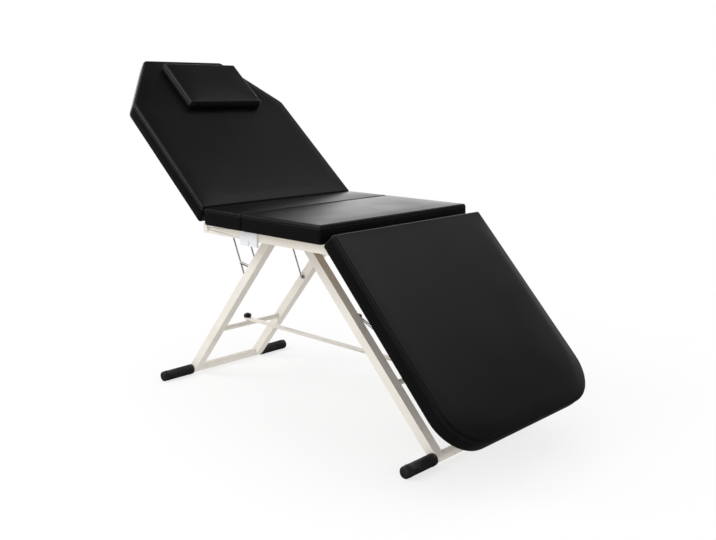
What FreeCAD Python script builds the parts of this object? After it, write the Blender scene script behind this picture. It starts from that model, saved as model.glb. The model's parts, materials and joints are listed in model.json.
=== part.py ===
import FreeCAD, Part
import math
import os
import re
from types import SimpleNamespace

from FreeCAD import Placement, Rotation, Vector

# A folding massage table: two seat cushions on a hinged rail frame, a backrest on wire props, a leg rest
# on butt hinges, and two pairs of legs held apart by a stay. Millimetres, +X to the foot end, +Z up.
# Pieces are laid out from the seam between the seat cushions, then moved so that the origin is under the
# middle of the whole table.

SIZES = {
    # how far a cutting tool runs past a face
    "overshoot": 1,
    # cushions
    "cushion_width": 618, "cushion_thickness": 50, "seat_height": 622.5, "crown": 6, "end_crown": 2,
    "side_bulge": 2, "draw_in": 3, "rear_seat_length": 173, "front_seat_length": 322, "seam_gap": 2,
    "backrest_length": 676, "backrest_straight": 460, "backrest_top_width": 316, "backrest_angle": 40.6,
    "backrest_gap": 2.5, "leg_rest_length": 631, "leg_rest_angle": 47, "leg_rest_corner": 114,
    "leg_rest_gap": 4, "board_thickness": 9, "board_inset": 10, "board_clearance": 0.3,
    "pillow_length": 197, "pillow_width": 295, "pillow_edge": 27, "pillow_crown": 13, "pillow_end_crown": 6,
    "pillow_centre": 520, "pillow_offset": 20, "pillow_clearance": 0.3,
    # seat frame
    "rail_width": 20, "rail_height": 30, "rail_wall": 1.5, "rail_inset": 29, "rail_joint_gap": 1,
    "rear_cross_reach": 130, "cross_tube": 20, "plug_flange": 2, "plug_depth": 9, "plug_clearance": 0.1,
    "hinge_plate_length": 40, "hinge_plate_height": 44, "hinge_plate_thickness": 3, "hinge_plate_top": 1,
    "hinge_ear": 9, "hinge_pin": 8, "hinge_pin_head": 11, "hinge_pin_head_height": 2.5,
    # backrest frame
    "pivot_bolt": 8, "bolt_head": 15, "bolt_head_height": 5, "washer_thickness": 1, "washer_diameter": 20,
    "running_clearance": 0.05, "backrest_rail_length": 500, "backrest_cross_reach": 470,
    "prop_rod": 10, "prop_reach": 235, "prop_wire": 5, "prop_tail": 4, "prop_eye": 18,
    "prop_eye_thickness": 6, "prop_rung": 9, "loop_spacing": 74, "loop_upper_rung": 150,
    "loop_lower_rung": 316, "loop_rung_slope": 47, "prop_setback": 8.5,
    "clip_size": 14, "clip_depth": 3.5, "clip_drop": 214.5, "clip_offset": 3,
    # leg rest frame
    "leaf_thickness": 2, "leaf_length": 80, "leaf_reach": 34, "leaf_drop": 18, "knuckle": 10,
    "leaf_pin": 5, "knuckle_gap": 0.5, "leaf_clearance": 0.5, "hinge_inset": 110,
    "leg_rest_rail_start": 40, "leg_rest_rail_length": 430, "leg_rest_cross_reach": 280,
    "strut_wire": 8, "strut_length": 480, "strut_eye": 18, "strut_eye_thickness": 6, "strut_pin": 8,
    "strut_drop": 219.5, "strut_clearance": 2, "strut_pin_head": 13, "strut_pin_head_height": 3,
    "strut_setback": 11,
    # legs and stay
    "leg_tube": 28, "leg_wall": 1.5, "leg_span": 304, "axle": 12, "rear_axle_reach": 41,
    "front_axle_reach": 60, "rear_foot_reach": 495, "front_foot_reach": 582, "foot_tube": 27,
    "foot_wall": 1.5, "foot_length": 537, "sleeve": 35, "sleeve_flat": 0.5, "sleeve_end": 3,
    "sleeve_gap": 0.5, "crossbar": 16, "crossbar_wall": 1.5, "crossbar_height": 180,
    "stay_width": 16, "stay_height": 8, "stay_clearance": 0.5, "stay_tail": 12, "clevis_wall": 3,
    "clevis_gap": 0.5, "clevis_rise": 7,
    "clevis_lead": 8.3, "stay_pin": 4, "clamp_screw": 8, "clamp_hook_depth": 12, "knob": 26,
    "knob_height": 15, "knob_lobes": 6, "knob_lobe": 7, "knob_seat": 0.3,
}

doc = FreeCAD.newDocument("massage_table")
sheet = doc.addObject("Spreadsheet::Sheet", "Sizes")
for row, (alias, number) in enumerate(SIZES.items(), start=1):
    sheet.set(f"A{row}", alias)
    sheet.set(f"B{row}", str(number))
    sheet.setAlias(f"B{row}", alias)
doc.recompute()
S = SimpleNamespace(**{alias: float(sheet.get(alias)) for alias in SIZES})

ALONG_X = (1, 0, 0)
ALONG_Y = (0, 1, 0)
ALONG_Z = (0, 0, 1)
SIDES = {"left": 1, "right": -1}
LOOP_SIDE = "right"
subparts = []


# Small building blocks, each bound to the sheet

def bound(words):
    """A size written in the sheet's words, as an expression."""
    return re.sub(r"[a-z_]{3,}", lambda found: "Sizes." + found.group(0), words)


def box(name, length, width, height, corner):
    """A block from one corner, its three sizes bound."""
    block = doc.addObject("Part::Box", name)
    block.setExpression("Length", bound(length))
    block.setExpression("Width", bound(width))
    block.setExpression("Height", bound(height))
    block.Placement.Base = Vector(*corner)
    return block


def rod(name, diameter, length, start, direction):
    """A round bar from a start point, its diameter and length bound."""
    bar = doc.addObject("Part::Cylinder", name)
    bar.setExpression("Radius", f"({bound(diameter)}) / 2")
    bar.setExpression("Height", bound(length))
    bar.Placement = Placement(Vector(*start), Rotation(Vector(*ALONG_Z), Vector(*direction)))
    return bar


def cut(name, base, *tools):
    """The base with every tool taken away."""
    for number, tool in enumerate(tools):
        step = doc.addObject("Part::Cut", f"{name}_cut{number}")
        step.Base = base
        step.Tool = tool
        base = step
    return base


def fuse(name, *pieces):
    """Pieces that are welded or moulded as one."""
    joined = doc.addObject("Part::MultiFuse", name + "_fused")
    joined.Shapes = list(pieces)
    return joined


def group(name, *pieces):
    """Separate solids that share one node."""
    together = doc.addObject("Part::Compound", name + "_group")
    together.Links = list(pieces)
    return together


def surface(name, shape):
    """A form made of lofts, which no single primitive gives."""
    piece = doc.addObject("Part::Feature", name + "_form")
    piece.Shape = shape
    return piece


def finish(label, piece, pivot=(0, 0), angle=0):
    """Name a sub-part and turn it about a pivot in the X-Z plane, from the way it was laid out."""
    piece.Label = label
    turn = Placement(Vector(pivot[0], 0, pivot[1]), Rotation(Vector(*ALONG_Y), angle))
    piece.Placement = turn.multiply(piece.Placement)
    subparts.append(piece)


def beam_x(name, start, end, y_low, z_low, width, height, wall):
    """A rectangular tube along X."""
    length = f"{end - start}"
    outer = box(name + "_outer", length, width, height, (start, y_low, z_low))
    thickness = getattr(S, wall)
    inner = box(name + "_inner", f"{end - start} + 2 * overshoot", f"{width} - 2 * {wall}",
                f"{height} - 2 * {wall}", (start - S.overshoot, y_low + thickness, z_low + thickness))
    return cut(name, outer, inner)


def beam_y(name, half_length, x_low, z_low, side, wall):
    """A square tube across the table, centred on the middle plane."""
    outer = box(name + "_outer", side, f"{2 * half_length}", side, (x_low, -half_length, z_low))
    thickness = getattr(S, wall)
    inner = box(name + "_inner", f"{side} - 2 * {wall}", f"{2 * half_length} + 2 * overshoot",
                f"{side} - 2 * {wall}", (x_low + thickness, -half_length - S.overshoot, z_low + thickness))
    return cut(name, outer, inner)


# Places worked out from the sizes

RAIL_TOP = S.seat_height - S.cushion_thickness
RAIL_BOTTOM = RAIL_TOP - S.rail_height
RAIL_MIDDLE = RAIL_TOP - S.rail_height / 2
RAIL_OUTER = S.cushion_width / 2 - S.rail_inset
RAIL_INNER = RAIL_OUTER - S.rail_width
REAR_END = -(S.seam_gap / 2 + S.rear_seat_length)
FRONT_END = S.seam_gap / 2 + S.front_seat_length

PIVOT_DROP = S.seat_height - RAIL_MIDDLE
BACKREST_START = PIVOT_DROP * math.tan(math.radians(S.backrest_angle / 2))
BACKREST_PIVOT = (REAR_END - S.backrest_gap - BACKREST_START, RAIL_MIDDLE)
BACKREST_RAIL_OUTER = RAIL_INNER - S.washer_thickness
BACKREST_RAIL_INNER = BACKREST_RAIL_OUTER - S.rail_width
RAIL_REAR = BACKREST_PIVOT[0] - S.rail_height / 2

RAIL_FRONT = FRONT_END - S.seam_gap / 2
KNUCKLE_RADIUS = S.knuckle / 2
LEG_REST_PIVOT = (RAIL_FRONT + S.leaf_thickness + S.leaf_clearance + KNUCKLE_RADIUS,
                  RAIL_TOP - S.leaf_clearance - KNUCKLE_RADIUS)
LEG_REST_START = FRONT_END + S.leg_rest_gap - LEG_REST_PIVOT[0]

FOOT_HEIGHT = S.sleeve / 2 - S.sleeve_flat
LEG_OUTER = S.leg_span / 2
LEG_INNER = LEG_OUTER - S.leg_tube
AXLE = {"rear": (-S.rear_axle_reach, RAIL_MIDDLE), "front": (S.front_axle_reach, RAIL_MIDDLE)}
FOOT = {"rear": (-S.rear_foot_reach, FOOT_HEIGHT), "front": (S.front_foot_reach, FOOT_HEIGHT)}


def along_leg(end, height):
    """The X of a leg's centre line at a height."""
    axle_x, axle_z = AXLE[end]
    foot_x, foot_z = FOOT[end]
    return axle_x + (foot_x - axle_x) * (axle_z - height) / (axle_z - foot_z)


CROSSBAR = {end: (along_leg(end, S.crossbar_height), S.crossbar_height) for end in AXLE}


# Cushions and their boards

def profile(x, half_width, bottom, crown):
    """A cushion's cross-section: flat base, bulging sides, crowned top."""
    top = bottom + S.cushion_thickness
    middle = (bottom + top) / 2
    low_left = Vector(x, -half_width, bottom)
    low_right = Vector(x, half_width, bottom)
    high_right = Vector(x, half_width, top)
    high_left = Vector(x, -half_width, top)
    edges = [
        Part.LineSegment(low_left, low_right).toShape(),
        Part.Arc(low_right, Vector(x, half_width + S.side_bulge, middle), high_right).toShape(),
        Part.Arc(high_right, Vector(x, 0, top + crown), high_left).toShape(),
        Part.Arc(high_left, Vector(x, -half_width - S.side_bulge, middle), low_left).toShape(),
    ]
    return Part.Wire(edges)


SAME_PLACE = 0.01


def outline_wire(points, corner=0):
    """A closed outline of straight edges, its last two corners rounded where a radius is given."""
    wire = Part.makePolygon(points + points[:1])
    if not corner:
        return wire
    face = Part.Face(wire).extrude(Vector(*ALONG_Z))
    upright = [edge for edge in face.Edges if edge.BoundBox.ZLength > SAME_PLACE]
    rounded = [edge for edge in upright if abs(edge.Vertexes[0].X - points[1].x) < SAME_PLACE]
    solid = face.makeFillet(corner, rounded)
    base = [side for side in solid.Faces if abs(side.CenterOfMass.z) < SAME_PLACE]
    return base[0].OuterWire


def cushion(label, outline, bottom, pivot=(0, 0), angle=0):
    """A cushion with a plywood board let into its base."""
    limits = outline.BoundBox
    half_width = S.cushion_width / 2 - S.side_bulge
    middle = (limits.XMin + limits.XMax) / 2
    sections = [
        profile(limits.XMin, half_width, bottom, S.end_crown),
        profile(middle, half_width - S.draw_in, bottom, S.crown),
        profile(limits.XMax, half_width, bottom, S.end_crown),
    ]
    pad = Part.makeLoft(sections, True, False)
    height = S.cushion_thickness + 2 * S.crown
    column = Part.Face(outline).extrude(Vector(0, 0, height))
    column.translate(Vector(0, 0, bottom))
    board_edge = outline.makeOffset2D(-S.board_inset)
    pocket_edge = outline.makeOffset2D(-S.board_inset + S.board_clearance)
    board = Part.Face(board_edge).extrude(Vector(0, 0, S.board_thickness))
    pocket = Part.Face(pocket_edge).extrude(Vector(0, 0, S.board_thickness))
    for shape in (board, pocket):
        shape.translate(Vector(0, 0, bottom))
    finish(label + "_cushion", surface(label + "_cushion", pad.common(column).cut(pocket)), pivot, angle)
    finish(label + "_board", surface(label + "_board", board), pivot, angle)


def rectangle(start, end):
    """A plain cushion outline between two X values."""
    half = S.cushion_width / 2
    return [Vector(start, -half, 0), Vector(end, -half, 0), Vector(end, half, 0), Vector(start, half, 0)]


def all_cushions():
    """Two seat cushions, the backrest and the leg rest."""
    half = S.cushion_width / 2
    cushion("rear_seat", outline_wire(rectangle(REAR_END, -S.seam_gap / 2)), RAIL_TOP)
    cushion("front_seat", outline_wire(rectangle(S.seam_gap / 2, FRONT_END)), RAIL_TOP)
    low = -BACKREST_START
    shoulder = low - S.backrest_straight
    high = low - S.backrest_length
    narrow = S.backrest_top_width / 2
    back = [Vector(low, -half, 0), Vector(low, half, 0), Vector(shoulder, half, 0), Vector(high, narrow, 0),
            Vector(high, -narrow, 0), Vector(shoulder, -half, 0)]
    cushion("backrest", outline_wire(back), RAIL_TOP - RAIL_MIDDLE, BACKREST_PIVOT, S.backrest_angle)
    leg_rest = outline_wire(rectangle(LEG_REST_START, LEG_REST_START + S.leg_rest_length), S.leg_rest_corner)
    cushion("leg_rest", leg_rest, KNUCKLE_RADIUS + S.leaf_clearance, LEG_REST_PIVOT, S.leg_rest_angle)


def head_pillow():
    """A soft pillow on the backrest, crowned both ways over a low edge."""
    centre = -BACKREST_START - S.pillow_centre
    bottom = PIVOT_DROP + S.crown + S.pillow_clearance
    half = S.pillow_width / 2
    sections = []
    for x, reach, crown in ((centre - S.pillow_length / 2, half - S.draw_in, S.pillow_end_crown),
                            (centre, half, S.pillow_crown),
                            (centre + S.pillow_length / 2, half - S.draw_in, S.pillow_end_crown)):
        edge = bottom + S.pillow_edge
        left = S.pillow_offset - reach
        right = S.pillow_offset + reach
        low_left = Vector(x, left, bottom)
        low_right = Vector(x, right, bottom)
        high_right = Vector(x, right, edge)
        high_left = Vector(x, left, edge)
        peak = Vector(x, S.pillow_offset, edge + crown)
        edges = [
            Part.LineSegment(low_left, low_right).toShape(),
            Part.LineSegment(low_right, high_right).toShape(),
            Part.Arc(high_right, peak, high_left).toShape(),
            Part.LineSegment(high_left, low_left).toShape(),
        ]
        sections.append(Part.Wire(edges))
    finish("head_pillow", surface("head_pillow", Part.makeLoft(sections, True, False)), BACKREST_PIVOT,
           S.backrest_angle)


# Seat frame

def side_low(side, inner, outer):
    """The low Y of a piece that lies between two distances from the middle plane, on one side."""
    return inner if side > 0 else -outer


def seat_rails():
    """Two rails on each side, which meet at the seam, with plugs in their outer ends."""
    hole = "pivot_bolt + 2 * running_clearance"
    axle_hole = "axle + 2 * running_clearance"
    for word, side in SIDES.items():
        y_low = side_low(side, RAIL_INNER, RAIL_OUTER)
        wall_low = side_low(side, RAIL_INNER - S.overshoot, RAIL_INNER + S.rail_wall + S.overshoot)
        spans = {"rear": (RAIL_REAR, -S.rail_joint_gap / 2), "front": (S.rail_joint_gap / 2, RAIL_FRONT)}
        for end, (start, stop) in spans.items():
            name = f"seat_rail_{end}_{word}"
            tube = beam_x(name, start, stop, y_low, RAIL_BOTTOM, "rail_width", "rail_height", "rail_wall")
            bores = [rod(name + "_axle_hole", axle_hole, "rail_wall + 2 * overshoot",
                         (AXLE[end][0], wall_low, RAIL_MIDDLE), ALONG_Y)]
            if end == "rear":
                bores.append(rod(name + "_bolt_hole", hole, "rail_width + 2 * overshoot",
                                 (BACKREST_PIVOT[0], y_low - S.overshoot, RAIL_MIDDLE), ALONG_Y))
            finish(name, cut(name + "_bored", tube, *bores))
    inset = S.rail_wall + S.plug_clearance
    plugs = []
    for word, side in SIDES.items():
        y_low = side_low(side, RAIL_INNER, RAIL_OUTER)
        for end, flange_x, stem_x in (("rear", RAIL_REAR - S.plug_flange, RAIL_REAR),
                                      ("front", RAIL_FRONT, RAIL_FRONT - S.plug_depth)):
            name = f"plug_{end}_{word}"
            flange = box(name + "_flange", "plug_flange", "rail_width", "rail_height",
                         (flange_x, y_low, RAIL_BOTTOM))
            stem = box(name + "_stem", "plug_depth", "rail_width - 2 * rail_wall - 2 * plug_clearance",
                       "rail_height - 2 * rail_wall - 2 * plug_clearance",
                       (stem_x, y_low + inset, RAIL_BOTTOM + inset))
            plugs.append(fuse(name, flange, stem))
    finish("rail_end_plugs", group("rail_end_plugs", *plugs))


def seat_cross_members():
    """Square tubes and the leg axles between the rails."""
    low = RAIL_TOP - S.cross_tube
    finish("rear_cross_tube", beam_y("rear_cross_tube", RAIL_INNER, -S.rear_cross_reach - S.cross_tube / 2,
                                     low, "cross_tube", "rail_wall"))
    finish("front_cross_tube", beam_y("front_cross_tube", RAIL_INNER, RAIL_FRONT - S.cross_tube, low,
                                      "cross_tube", "rail_wall"))
    reach = RAIL_OUTER - S.rail_wall
    for end, (x, z) in AXLE.items():
        finish(f"{end}_leg_axle", rod(f"{end}_leg_axle", "axle", f"{2 * reach}", (x, -reach, z), ALONG_Y))


def seam_hinges():
    """A pair of plates across the seam on each side, on one pin below the rails."""
    thick = S.hinge_plate_thickness
    low = RAIL_TOP - S.hinge_plate_top - S.hinge_plate_height
    pin_z = low + S.hinge_ear
    hole = "hinge_pin + 2 * running_clearance"
    pins = []
    for word, side in SIDES.items():
        first = side_low(side, RAIL_OUTER, RAIL_OUTER + thick)
        second = side_low(side, RAIL_OUTER + thick, RAIL_OUTER + 2 * thick)
        bore_low = side_low(side, RAIL_OUTER - S.overshoot, RAIL_OUTER + 2 * thick + S.overshoot)
        rear = box(f"rear_plate_{word}", "hinge_plate_length + hinge_ear", "hinge_plate_thickness",
                   "hinge_plate_height", (-S.hinge_plate_length, first, low))
        foot_start = S.hinge_ear + S.rail_joint_gap
        foot = box(f"front_plate_foot_{word}", "hinge_plate_length - hinge_ear - rail_joint_gap",
                   "hinge_plate_thickness", "hinge_plate_height", (foot_start, first, low))
        face = box(f"front_plate_face_{word}", "hinge_plate_length + hinge_ear", "hinge_plate_thickness",
                   "hinge_plate_height", (-S.hinge_ear, second, low))
        front = fuse(f"front_plate_{word}", foot, face)
        for end, plate in (("rear", rear), ("front", front)):
            name = f"seam_hinge_{end}_{word}"
            bore = rod(name + "_bore", hole, "2 * hinge_plate_thickness + 2 * overshoot",
                       (0, bore_low, pin_z), ALONG_Y)
            finish(name, cut(name, plate, bore))
        inner = RAIL_OUTER - S.hinge_pin_head_height
        shank_low = side_low(side, inner, RAIL_OUTER + 2 * thick + S.hinge_pin_head_height)
        head_low = side_low(side, RAIL_OUTER + 2 * thick, RAIL_OUTER + 2 * thick + S.hinge_pin_head_height)
        tail_low = side_low(side, inner, RAIL_OUTER)
        shank = rod(f"seam_pin_shank_{word}", "hinge_pin",
                    "2 * hinge_plate_thickness + 2 * hinge_pin_head_height", (0, shank_low, pin_z), ALONG_Y)
        heads = [rod(f"seam_pin_head_{word}_{at}", "hinge_pin_head", "hinge_pin_head_height", (0, y, pin_z),
                     ALONG_Y) for at, y in (("outer", head_low), ("inner", tail_low))]
        pins.append(fuse(f"seam_pin_{word}", shank, *heads))
    finish("seam_hinge_pins", group("seam_hinge_pins", *pins))


# Backrest frame, laid out flat from its pivot

PROP_Y = LEG_INNER - S.prop_setback
CLIP_HEIGHT = RAIL_MIDDLE - S.clip_drop
CLIP = (along_leg("rear", CLIP_HEIGHT) + S.clip_offset, CLIP_HEIGHT)


def turned(pivot, angle, x, z):
    """Where a point laid out from a pivot lands once it is turned about it."""
    rad = math.radians(angle)
    return (pivot[0] + x * math.cos(rad) + z * math.sin(rad),
            pivot[1] - x * math.sin(rad) + z * math.cos(rad))


def hanging_angle(top, bottom):
    """The turn about Y that points a piece laid out downwards from one point to another."""
    return math.degrees(math.atan2(top[0] - bottom[0], top[1] - bottom[1]))


PROP_TOP = turned(BACKREST_PIVOT, S.backrest_angle, -S.prop_reach, 0)
PROP_LENGTH = math.hypot(PROP_TOP[0] - CLIP[0], PROP_TOP[1] - CLIP[1]) + S.prop_tail


def backrest_frame():
    """Two rails on pivot bolts, a cross tube and the rod that the props hang on."""
    half = S.rail_height / 2
    hole = "pivot_bolt + 2 * running_clearance"
    bolts = []
    washers = []
    for word, side in SIDES.items():
        y_low = side_low(side, BACKREST_RAIL_INNER, BACKREST_RAIL_OUTER)
        name = f"backrest_rail_{word}"
        tube = beam_x(name, -S.backrest_rail_length, half, y_low, -half, "rail_width", "rail_height",
                      "rail_wall")
        bore = rod(name + "_bore", hole, "rail_width + 2 * overshoot", (0, y_low - S.overshoot, 0), ALONG_Y)
        finish(name, cut(name + "_bored", tube, bore), BACKREST_PIVOT, S.backrest_angle)
        inner = BACKREST_RAIL_INNER - S.bolt_head_height
        outer = RAIL_OUTER + S.bolt_head_height
        shank = rod(f"pivot_shank_{word}", "pivot_bolt", f"{outer - inner}",
                    (0, side_low(side, inner, outer), 0), ALONG_Y)
        head = rod(f"pivot_head_{word}", "bolt_head", "bolt_head_height",
                   (0, side_low(side, RAIL_OUTER, outer), 0), ALONG_Y)
        nut = rod(f"pivot_nut_{word}", "bolt_head", "bolt_head_height",
                  (0, side_low(side, inner, BACKREST_RAIL_INNER), 0), ALONG_Y)
        bolts.append(fuse(f"pivot_bolt_{word}", shank, head, nut))
        washer_low = side_low(side, BACKREST_RAIL_OUTER, RAIL_INNER)
        disc = rod(f"washer_disc_{word}", "washer_diameter", "washer_thickness", (0, washer_low, 0),
                   ALONG_Y)
        eye = rod(f"washer_eye_{word}", hole, "washer_thickness + 2 * overshoot",
                  (0, washer_low - S.overshoot, 0), ALONG_Y)
        washers.append(cut(f"washer_{word}", disc, eye))
    finish("backrest_pivot_bolts", group("backrest_pivot_bolts", *bolts), BACKREST_PIVOT)
    finish("backrest_pivot_washers", group("backrest_pivot_washers", *washers), BACKREST_PIVOT)
    cross = beam_y("backrest_cross_tube", BACKREST_RAIL_INNER, -S.backrest_cross_reach - S.cross_tube / 2,
                   half - S.cross_tube, "cross_tube", "rail_wall")
    finish("backrest_cross_tube", cross, BACKREST_PIVOT, S.backrest_angle)
    prop_rod = rod("backrest_prop_rod", "prop_rod", f"{2 * BACKREST_RAIL_INNER}",
                   (-S.prop_reach, -BACKREST_RAIL_INNER, 0), ALONG_Y)
    finish("backrest_prop_rod", prop_rod, BACKREST_PIVOT, S.backrest_angle)


def release_loop(name, y):
    """A second wire beside a prop, on an upper rung and a sloping lower one, to lift the prop by."""
    bottom = S.loop_lower_rung + S.loop_rung_slope
    second = rod(name + "_loop", "prop_wire", f"{bottom - S.loop_upper_rung} + prop_wire",
                 (S.loop_spacing, y, -bottom - S.prop_wire / 2), ALONG_Z)
    upper = rod(name + "_upper_rung", "prop_rung", "loop_spacing", (0, y, -S.loop_upper_rung), ALONG_X)
    lower = rod(name + "_lower_rung", "prop_rung", "(loop_spacing ^ 2 + loop_rung_slope ^ 2) ^ 0.5",
                (0, y, -S.loop_lower_rung), (S.loop_spacing, 0, -S.loop_rung_slope))
    return second, upper, lower


def backrest_props():
    """Wire props, one of them with a release loop, and the round clips that they pass on the rear legs."""
    clips = []
    for word, side in SIDES.items():
        y = side * PROP_Y
        name = f"backrest_prop_{word}"
        eye_low = y - S.prop_eye_thickness / 2
        eye = rod(name + "_eye", "prop_eye", "prop_eye_thickness", (0, eye_low, 0), ALONG_Y)
        bore = rod(name + "_bore", "prop_rod + 2 * running_clearance", "prop_eye_thickness + 2 * overshoot",
                   (0, eye_low - S.overshoot, 0), ALONG_Y)
        wire_start = -(S.prop_rod + S.prop_eye) / 4
        wire = rod(name + "_wire", "prop_wire", f"{PROP_LENGTH + wire_start}", (0, y, -PROP_LENGTH),
                   ALONG_Z)
        loop = release_loop(name, y) if word == LOOP_SIDE else ()
        prop = fuse(name, cut(name + "_ring", eye, bore), wire, *loop)
        finish(name, prop, PROP_TOP, hanging_angle(PROP_TOP, CLIP))
        clip_low = side_low(side, LEG_INNER - S.clip_depth, LEG_INNER)
        clips.append(rod(f"prop_clip_{word}", "clip_size", "clip_depth", (CLIP[0], clip_low, CLIP[1]),
                         ALONG_Y))
    finish("prop_clips", group("prop_clips", *clips))


# Leg rest frame, laid out flat from its hinge

LEG_REST_BASE = KNUCKLE_RADIUS + S.leaf_clearance
STRUT_Y = LEG_INNER - S.strut_setback
STRUT_HEIGHT = RAIL_MIDDLE - S.strut_drop
STRUT_TOP = (along_leg("front", STRUT_HEIGHT), STRUT_HEIGHT)


def leg_rest_frame():
    """Two rails and a cross tube under the leg rest's board."""
    low = LEG_REST_BASE - S.rail_height
    end = S.leg_rest_rail_start + S.leg_rest_rail_length
    for word, side in SIDES.items():
        y_low = side_low(side, BACKREST_RAIL_INNER, BACKREST_RAIL_OUTER)
        name = f"leg_rest_rail_{word}"
        tube = beam_x(name, S.leg_rest_rail_start, end, y_low, low, "rail_width", "rail_height", "rail_wall")
        finish(name, tube, LEG_REST_PIVOT, S.leg_rest_angle)
    cross = beam_y("leg_rest_cross_tube", BACKREST_RAIL_INNER, S.leg_rest_cross_reach - S.cross_tube / 2,
                   LEG_REST_BASE - S.cross_tube, "cross_tube", "rail_wall")
    finish("leg_rest_cross_tube", cross, LEG_REST_PIVOT, S.leg_rest_angle)


def leg_rest_hinges():
    """A butt hinge on each side: a leaf on the front cross tube, a leaf under the board, and a pin."""
    section = (S.leaf_length - 2 * S.knuckle_gap) / 3
    bore_size = "leaf_pin + 2 * running_clearance"
    half = S.leaf_length / 2
    back = RAIL_FRONT - LEG_REST_PIVOT[0]
    pins = []
    for word, side in SIDES.items():
        low = side * (RAIL_INNER - S.hinge_inset) - half
        third = low + section + S.knuckle_gap
        name = f"leg_rest_hinge_{word}"
        plate = box(name + "_plate", "leaf_thickness", "leaf_length", "leaf_drop", (back, low, -S.leaf_drop))
        fixed = [plate]
        for number, y in enumerate((low, third + section + S.knuckle_gap)):
            fixed.append(rod(f"{name}_knuckle{number}", "knuckle", f"{section}", (0, y, 0), ALONG_Y))
            fixed.append(box(f"{name}_web{number}", f"{-back}", f"{section}", "leaf_thickness",
                             (back, y, -KNUCKLE_RADIUS)))
        bores = [rod(f"{name}_bore_{half_word}", bore_size, "leaf_length + 2 * overshoot",
                     (0, low - S.overshoot, 0), ALONG_Y) for half_word in ("fixed", "moving")]
        finish(name + "_fixed_leaf", cut(name + "_fixed", fuse(name + "_fixed", *fixed), bores[0]),
               LEG_REST_PIVOT)
        leaf_low = LEG_REST_BASE - S.leaf_thickness
        flap = box(name + "_flap", "leaf_reach - knuckle / 2 - leaf_clearance", "leaf_length",
                   "leaf_thickness", (LEG_REST_BASE, low, leaf_low))
        bridge = box(name + "_bridge", "knuckle / 2 + 2 * leaf_clearance", f"{section}", "leaf_thickness",
                     (0, third, leaf_low))
        middle = rod(name + "_middle", "knuckle", f"{section}", (0, third, 0), ALONG_Y)
        moving = cut(name + "_moving", fuse(name + "_moving", flap, bridge, middle), bores[1])
        finish(name + "_moving_leaf", moving, LEG_REST_PIVOT, S.leg_rest_angle)
        pins.append(rod(f"{name}_pin", "leaf_pin", "leaf_length", (0, low, 0), ALONG_Y))
    finish("leg_rest_hinge_pins", group("leg_rest_hinge_pins", *pins), LEG_REST_PIVOT)


def leg_rest_struts():
    """Rods on pins inside the front legs, whose tips bear under the leg rest's board."""
    half = S.strut_wire / 2
    tilt = math.radians(S.leg_rest_angle)
    away = ((LEG_REST_PIVOT[0] - STRUT_TOP[0]) * math.sin(tilt)
            + (LEG_REST_PIVOT[1] - STRUT_TOP[1]) * math.cos(tilt) + LEG_REST_BASE)
    rise = math.asin((away - half - S.strut_clearance) / S.strut_length)
    tip = (STRUT_TOP[0] + S.strut_length * math.cos(rise - tilt),
           STRUT_TOP[1] + S.strut_length * math.sin(rise - tilt))
    pins = []
    for word, side in SIDES.items():
        y = side * STRUT_Y
        name = f"leg_rest_strut_{word}"
        eye_low = y - S.strut_eye_thickness / 2
        eye = rod(name + "_eye", "strut_eye", "strut_eye_thickness", (0, eye_low, 0), ALONG_Y)
        wire_start = (S.strut_pin + S.strut_eye) / 4
        wire = rod(name + "_wire", "strut_wire", f"{S.strut_length - wire_start}", (0, y, -S.strut_length),
                   ALONG_Z)
        bore = rod(name + "_bore", "strut_pin + 2 * running_clearance", "strut_eye_thickness + 2 * overshoot",
                   (0, eye_low - S.overshoot, 0), ALONG_Y)
        finish(name, cut(name, fuse(name, eye, wire), bore), STRUT_TOP, hanging_angle(STRUT_TOP, tip))
        inner = STRUT_Y - half - S.knuckle_gap
        head_inner = inner - S.strut_pin_head_height
        shank = rod(f"strut_pin_shank_{word}", "strut_pin", f"{LEG_INNER - head_inner}",
                    (0, side_low(side, head_inner, LEG_INNER), 0), ALONG_Y)
        head = rod(f"strut_pin_head_{word}", "strut_pin_head", "strut_pin_head_height",
                   (0, side_low(side, head_inner, inner), 0), ALONG_Y)
        pins.append(fuse(f"strut_pin_{word}", shank, head))
    finish("strut_pins", group("strut_pins", *pins), STRUT_TOP)


# Legs, feet, crossbars and stay

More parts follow.
